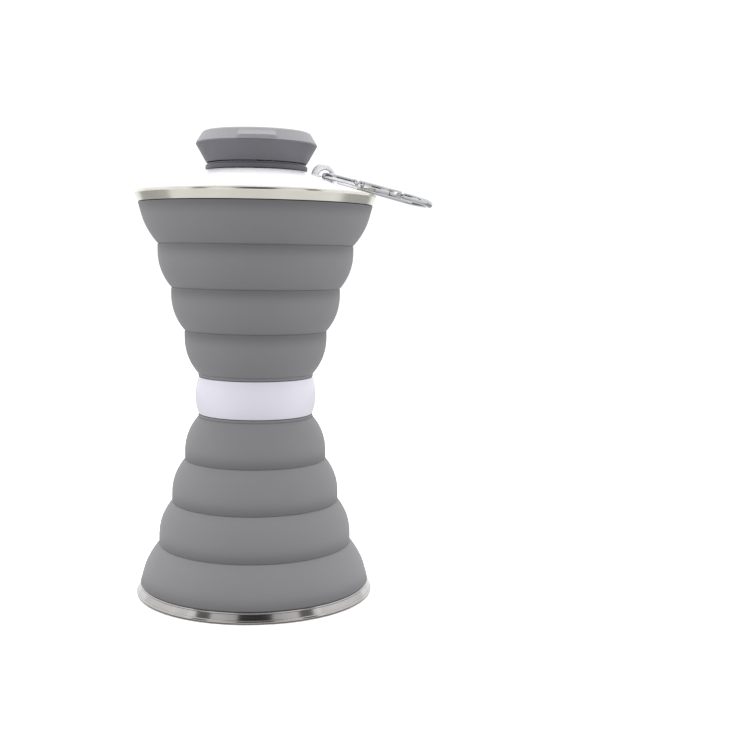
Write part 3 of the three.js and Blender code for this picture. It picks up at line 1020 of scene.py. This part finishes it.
flip_chamfer = 2.7
flip_wall = 1.6
flip_edge = cap_edge - 0.16
flip_crown = flip_edge - flip_chamfer
flip_under = flip_high - flip_wall
flip_mesh = turned_mesh(
    "flip_lid_grey",
    [
        (0, flip_under, 0),
        (flip_crown - flip_wall - 0.6, flip_under, 0.8),
        (flip_edge - flip_wall, flip_low, 0.2),
        (flip_edge - 0.08, flip_low, 0.08),
        (flip_edge, flip_low + 0.25, 0.15),
        (flip_crown + 0.15, flip_high - 0.45, 0.5),
        (flip_crown - 0.75, flip_high, 0.6),
        (flip_crown - 2.2, flip_high - 0.02, 0.5),
        (flip_crown - 3.2, flip_high - 0.3, 0.8),
        (0, flip_high - 0.42, 0),
    ],
    None,
    192,
)


def chamfer_radius(z):
    return flip_edge - flip_chamfer * (z - flip_low) / (flip_high - flip_low)


tab_half = 8.2
tab_low = flip_low + 0.03
tab_front = flip_edge + 0.5
tab_face = 1.65
tab_high = flip_low + 3.15
tab_root = 0.6
tab_profile = outline(
    [
        (flip_edge - 0.9, tab_low, 0),
        (flip_edge + 0.02, tab_low, 0.15),
        (tab_front, flip_low + tab_face, 0.35),
        (chamfer_radius(tab_high) + 0.1, tab_high, 0.2),
        (chamfer_radius(tab_high) - tab_root, tab_high - 0.2, 0),
    ]
)
tab_rings = []
tab_steps = 44
for k in range(tab_steps + 1):
    share = math.sin(math.pi * (k / tab_steps - 0.5))
    fade = max(0.02, 1 - abs(share) ** 9) ** 0.5
    angle = math.asin(tab_half / flip_edge) * share
    spoke = Vector((math.sin(angle), -math.cos(angle), 0))
    ring = []
    for r, z in tab_profile:
        root = chamfer_radius(z) - tab_root
        ring.append(spoke * (root + (r - root) * fade) + Vector((0, 0, z)))
    tab_rings.append(ring)
flip_mesh = combined(flip_mesh, "UNION", lofted("thumb tab", tab_rings))
flip_arm = barrel(
    "flip knuckle",
    -middle_knuckle / 2,
    middle_knuckle / 2,
    flip_edge - 1.2,
    flip_low + 0.05,
    hinge_z + knuckle - 0.25,
)
flip_mesh = combined(flip_mesh, "UNION", flip_arm)
flip_mesh = combined(flip_mesh, "DIFFERENCE", pin_hole())
flip_lid = piece("flip_lid_grey", flip_mesh)
# The same grey as the cap, painted lighter: the lit copy for the lid's upward chamfer.
lit_flip_plastic = plastic_finish("lit flip lid plastic", (0.25, 0.25, 0.263), 0.42, 0.035)
lit_flip_plastic.on(flip_lid)
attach(flip_lid, "flip_top")
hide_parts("flip_lid")

# ---- spout plug
# A soft clear plug under the flip lid. Its flange lies on the spout's mouth, and a ring
# round its stem seals the bore.

plug_low, plug_high = span("spout_plug")
plug_flange = radius("spout_plug")
plug_stem = spout_bore - 0.4
plug = turned(
    "spout_plug_clear",
    [
        (0, plug_low + 0.5, 0),
        (plug_stem - 1.4, plug_low + 0.5, 0.4),
        (plug_stem - 1.0, plug_low, 0.3),
        (plug_stem - 0.35, plug_low, 0.3),
        (plug_stem - 0.1, plug_low + 1.0, 0.3),
        (plug_stem + 0.05, plug_low + 1.35, 0.25),
        (plug_stem - 0.1, plug_low + 1.7, 0.25),
        (plug_stem - 0.1, plug_high - 0.4, 0.2),
        (plug_flange, plug_high - 0.4, 0.15),
        (plug_flange, plug_high, 0.15),
        (0, plug_high, 0),
    ],
    around=96,
)
clear_silicone.on(plug)
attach(plug, "flip_top")
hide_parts("spout_plug")

# ---- flip hinge pin
# A steel pin with lightly chamfered ends, pushed through the three knuckles.

pin_steel = steel_finish("drawn steel pin", (0.55, 0.55, 0.56), 0.22, 0.05)


def pin(name, middle, direction, reach, thickness, dome=0.2):
    """A round pin with chamfered ends."""
    across = direction.orthogonal().normalized()
    up = direction.cross(across)
    stations = []
    for place, share in ((-1, 0.72), (-1, 1), (-0.5, 1), (0, 1), (0.5, 1), (1, 1), (1, 0.72)):
        along = place * (reach - (0 if share < 1 else dome))
        stations.append((middle + direction * along, across, up, thickness * share, thickness * share, 2))
    return piece(name, swept(name, stations, 32))


flip_pin = pin("flip_hinge_steel_pin", hinge_middle, ALONG_X, pin_reach, pin_radius)
pin_steel.on(flip_pin)
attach(flip_pin, "cap")
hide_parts("flip_hinge_pin")

# ---- snap hook
# Round steel wire, bent to a long loop with a small and a wide bend, and chromed. The
# nose stops short on the gated side, and a flat tongue holds the gate's pin.

chrome = Finish("chrome plate", metallic=1.0, coat_weight=0.25, coat_roughness=0.03)
ripple = chrome.noise(210, 2)
smear = chrome.noise(95, 4)
pits = ((chrome.noise(1400, 0) - 0.76) * 9).held()
plate = chrome.mixed((smear * 1.5 - 0.5).held(), (0.66, 0.665, 0.68), (0.54, 0.545, 0.565))
# Painted shade: inner corners darker.
plate = chrome.mixed((chrome.marked("edge") * -2).held(), plate, (0.12, 0.12, 0.13))
chrome.paint(chrome.mixed(pits * 0.5, plate, (0.4, 0.4, 0.42)), (0.045 + 0.1 * smear + 0.2 * pits).held())
chrome.bump(ripple + 0.25 * chrome.noise(900, 2), 0.02, 0.2)

hook_up = -Vector(joint("gate_spring_hinge")["axis"]).normalized()
hook_out = ALONG_Y.cross(hook_up).normalized()
hook_frame = Matrix((hook_out, ALONG_Y, hook_up)).transposed().to_4x4()
hook_frame.translation = Vector((lug_x, 0, lug_z))

wire = 1.4
hook_length = 45.0
inner_bend, outer_bend = 6.2, 9.2
outer_x = hook_length - outer_bend
taper = math.asin((outer_bend - inner_bend) / (outer_x - inner_bend))
side_run = (outer_x - inner_bend) * math.cos(taper)
gate_start, gate_tail = 8.0, 4.4
gate_length = side_run - gate_start - gate_tail
side_origin = Vector((inner_bend * (1 - math.sin(taper)), -inner_bend * math.cos(taper), 0))
side_way = Vector((math.cos(taper), -math.sin(taper), 0))
side_across = Vector((math.sin(taper), math.cos(taper), 0))
UP = Vector((0, 0, 1))


def bend_point(centre_x, bend, angle):
    return Vector((centre_x + bend * math.cos(angle), bend * math.sin(angle), 0))


tongue_length = 3.4
wire_start = gate_start + gate_length + tongue_length / 2
route = [side_origin + side_way * (wire_start + (side_run - wire_start) * k / 4) for k in range(4)]
turn = math.pi / 2 + taper
for k in range(33):
    route.append(bend_point(outer_x, outer_bend, -turn + 2 * turn * k / 32))
far_start, far_end = route[-1], bend_point(inner_bend, inner_bend, turn)
for k in range(1, 16):
    route.append(far_start.lerp(far_end, k / 16))
for k in range(29):
    route.append(bend_point(inner_bend, inner_bend, turn + (2 * math.pi - 2 * turn) * k / 28))
nose_end = side_origin + side_way * (gate_start - gap)
nose_start = route[-1]
for share in (0.25, 0.5, 0.7, 0.78, 0.82, 0.95, 1.0):
    route.append(nose_start.lerp(nose_end, share))


def wire_stations(points, thickness):
    """Round stations along a flat route, with chamfered ends."""
    stations = []
    last = len(points) - 1
    for i, point in enumerate(points):
        way = (points[min(i + 1, last)] - points[max(i - 1, 0)]).normalized()
        size = thickness(i, last)
        stations.append((point, way.cross(UP), UP, size, size, 2))
    return stations


def hook_thickness(i, last):
    """The nose has a raised collar, and both ends are chamfered."""
    if i in (0, last):
        return wire * 0.82
    return wire * (1.14 if last - 3 <= i < last else 1)


hook_mesh = swept("snap_hook_chrome", wire_stations(route, hook_thickness), 32)
pin_place = side_origin + side_way * (gate_start + gate_length)
tongue_half = 0.65
gate_pin_radius = 0.6
fork_gap = 0.3
tongue_tip = -gate_pin_radius - fork_gap
tongue_shape = [(tongue_tip, 0.7), (tongue_tip + 0.25, 0.95), (0, 1), (tongue_length, 1)]


def along_gate(name, shape, width, height, square, sides=32):
    """A bar along the gated side, from (distance past the pin, share of the full size)."""
    stations = [
        (pin_place + side_way * along, side_across, UP, width * share, height * share, square)
        for along, share in shape
    ]
    return swept(name, stations, sides)


tongue = along_gate("tongue", tongue_shape, wire * 0.8, tongue_half, 6)
hook_mesh = combined(hook_mesh, "UNION", tongue)


def gate_bore():
    return drilled("gate pin hole", pin_place, side_across, side_way, 4, gate_pin_radius + pin_play)


hook_mesh = combined(hook_mesh, "DIFFERENCE", gate_bore())
hook_mesh.transform(hook_frame)
hook = piece("snap_hook_chrome", hook_mesh)
chrome.on(hook)
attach(hook, "hook")
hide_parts("hook_body")

# ---- hook gate
# A turned steel sleeve, chromed: a solid nose, a bore for its spring, a fork over the
# hook's tongue, and two shallow grooves that frame the grip.

gate_radius = wire + 0.3
gate_end = gate_pin_radius + 2 * fork_gap
grip_grooves = (0.14, 0.78)
gate_profile = [(-gate_length, 0.78), (-gate_length + 0.35, 1.0)]
for share in grip_grooves:
    middle = -gate_length + share * gate_length
    gate_profile += [(middle + off, size) for off, size in ((-0.28, 1), (-0.1, 0.9), (0.1, 0.9), (0.28, 1))]
gate_profile += [(gate_end - 0.4, 1.0), (gate_end, 0.8)]
gate_mesh = along_gate("hook_gate_chrome", gate_profile, gate_radius, gate_radius, 2, 40)
gate_nose = 3  # the solid end of the gate
bore_length = gate_length - gate_nose
fork_start = -gate_pin_radius - 4 * fork_gap
slot = [(fork_start, 1), (2 * gate_end, 1)]
spring_bore, spring_room = [(-bore_length, 1), (fork_start + 0.5, 1)], 1.1
gate_mesh = combined(
    gate_mesh,
    "DIFFERENCE",
    along_gate("fork slot", slot, 2 * gate_radius, tongue_half + fork_gap, 60),
    along_gate("spring bore", spring_bore, spring_room, spring_room, 2),
    gate_bore(),
)
gate_mesh.transform(hook_frame)
gate = piece("hook_gate_chrome", gate_mesh)
chrome.on(gate)
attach(gate, "gate")
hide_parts("hook_gate")

# ---- gate pin and spring
# A short rivet holds the gate in its fork, and a fine steel coil in the gate's bore
# pushes the gate shut.

pin_middle = hook_frame @ pin_place
pin_way = (hook_frame.to_3x3() @ side_across).normalized()
gate_rivet = pin("gate_rivet_steel", pin_middle, pin_way, gate_radius, gate_pin_radius, 0.15)
pin_steel.on(gate_rivet)
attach(gate_rivet, "hook")
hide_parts("gate_pin")

coil_radius, coil_wire, coil_pitch = 0.75, 0.2, 1.25
coil_start = -gate_pin_radius - 5 * fork_gap
coil_length = bore_length + coil_start - gap - coil_wire
coil_turns = round(coil_length / coil_pitch)
per_turn = 18
coil_stations = []
for k in range(coil_turns * per_turn + 1):
    angle = 2 * math.pi * k / per_turn
    along = coil_start - coil_length * k / (coil_turns * per_turn)
    spoke = side_across * math.cos(angle) + UP * math.sin(angle)
    around_way = UP * math.cos(angle) - side_across * math.sin(angle)
    way = (around_way * 2 * math.pi * coil_radius - side_way * coil_length / coil_turns).normalized()
    centre = pin_place + side_way * along + spoke * coil_radius
    coil_stations.append((centre, spoke, way.cross(spoke), coil_wire, coil_wire, 2))
coil_mesh = swept("gate_coil_spring", coil_stations, 10)
coil_mesh.transform(hook_frame)
gate_coil = piece("gate_coil_spring", coil_mesh)
pin_steel.on(gate_coil)
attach(gate_coil, "gate")
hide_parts("gate_spring")

# ---- studio
# A wide white floor in a bright, even room, with a long lamp at each side and one above,
# and dark boards that give the metal something to mirror.

floor_size = 6.0


def sheet(name, centre, across, up):
    """A flat four-sided sheet, from its middle and its two full sides."""
    centre, across, up = Vector(centre), Vector(across) / 2, Vector(up) / 2
    corners = [centre - across - up, centre + across - up, centre + across + up, centre - across + up]
    mesh = bpy.data.meshes.new(name)
    mesh.from_pydata(corners, [], [(0, 1, 2, 3)])
    return placed(name, mesh)


studio_floor = sheet("studio_floor", (0, 0, 0), (floor_size, 0, 0), (0, floor_size, 0))
studio_floor.location.z = -0.0002
paper = Finish("pale paper", emission_color=(1, 1, 1, 1), emission_strength=0.3)
paper_shade = paper.mixed(paper.noise(6, 2), (0.96, 0.96, 0.96), (0.95, 0.95, 0.952))
paper.paint(paper_shade, 0.9 + 0.05 * paper.noise(40))
paper.on(studio_floor)
studio_floor.visible_diffuse = False
studio_floor.visible_glossy = False


class Room(Finish):
    """The light all round: a world whose nodes are added in the same way."""

    def __init__(self, name):
        self.world = bpy.data.worlds.new(name)
        self.world.use_nodes = True
        self.nodes = self.world.node_tree.nodes
        self.links = self.world.node_tree.links
        self.shader = self.nodes["Background"]

    def towards(self, direction):
        """1 in a direction, 0 at right angles to it and below 0 beyond."""
        way = self.node("ShaderNodeTexCoord", output="Generated")
        inputs = {0: way, 1: direction}
        return self.node("ShaderNodeVectorMath", {"operation": "DOT_PRODUCT"}, inputs, output="Value")


room = Room("bright room")
high_in_front = (room.towards((0, -0.6, 0.8)) - 0.6).held()
underfoot = room.towards((0, 0, -1)).held()
room.feed(room.shader.inputs["Strength"], 1.12 - 1.5 * high_in_front - 0.5 * underfoot)
room.feed(room.shader.inputs["Color"], (1, 1, 1, 1))
bpy.context.scene.world = room.world


def lamp(name, place, width, height, watts):
    """A soft box that looks at the middle of the bottle."""
    light = bpy.data.lights.new(name, "AREA")
    light.shape, light.size, light.size_y = "RECTANGLE", width, height
    light.energy = watts
    box = placed(name, light)
    box.location = place
    aim = Vector((0, 0, 0.1)) - Vector(place)
    box.rotation_euler = aim.to_track_quat("-Z", "Y").to_euler()
    box.visible_camera = False
    box.visible_glossy = False


lamp("left lamp", (-0.9, -0.25, 0.45), 0.5, 0.9, 3.0)
lamp("right lamp", (0.95, -0.2, 0.4), 0.45, 0.9, 3.0)
lamp("top lamp", (0, 0.1, 1.2), 0.9, 0.9, 12.0)


def board(name, centre, across, up, shade):
    """A flat board beside the bottle, which only the metal and the gloss mirror."""
    thing = sheet(name, centre, across, up)
    for way in ("camera", "diffuse", "shadow", "transmission", "volume_scatter"):
        setattr(thing, f"visible_{way}", False)
    felt = Finish(name, roughness=1.0)
    felt.paint(felt.mixed(felt.noise(20, 2), (shade,) * 3, (shade * 1.3,) * 3))
    felt.on(thing)


board("dark_board", (0, -0.75, 0.56), (0.5, 0, 0), (0, 0, 0.5), 0.008)
for side, word in ((-1, "left"), (1, "right")):
    board(f"{word}_strip", (side * 0.74, -0.52, 0.5), (0.14, side * 0.2, 0), (0, 0, 0.6), 0.07)
    board(f"{word}_screen", (side * 0.9, 0.15, 0.5), (side * -0.17, 0.98, 0), (0, 0, 0.8), 0.6)
    board(f"{word}_mat", (side * 0.44, 0.4, 0.001), (0.6, 0, 0), (0, 0.8, 0), 0.2)
board("high_board", (0.3, -0.35, 0.8), (0.3, 0, 0), (0, 0.12, -0.06), 0.01)

focal, sensor = 53.1, 36.0
distance, eye_height = 0.461, 0.141
pitch, heading, roll = math.radians(6.17), math.radians(6.18), math.radians(0.88)
camera_data = bpy.data.cameras.new("camera")
camera_data.lens, camera_data.sensor_width = focal, sensor
camera_data.clip_start = 0.02
camera = placed("camera", camera_data)
camera.matrix_world = (
    Matrix.Translation((0, -distance, eye_height))
    @ Matrix.Rotation(-heading, 4, "Z")
    @ Matrix.Rotation(math.pi / 2 - pitch, 4, "X")
    @ Matrix.Rotation(roll, 4, "Z")
)
bpy.context.scene.camera = camera
bpy.context.scene.view_settings.view_transform = "Standard"
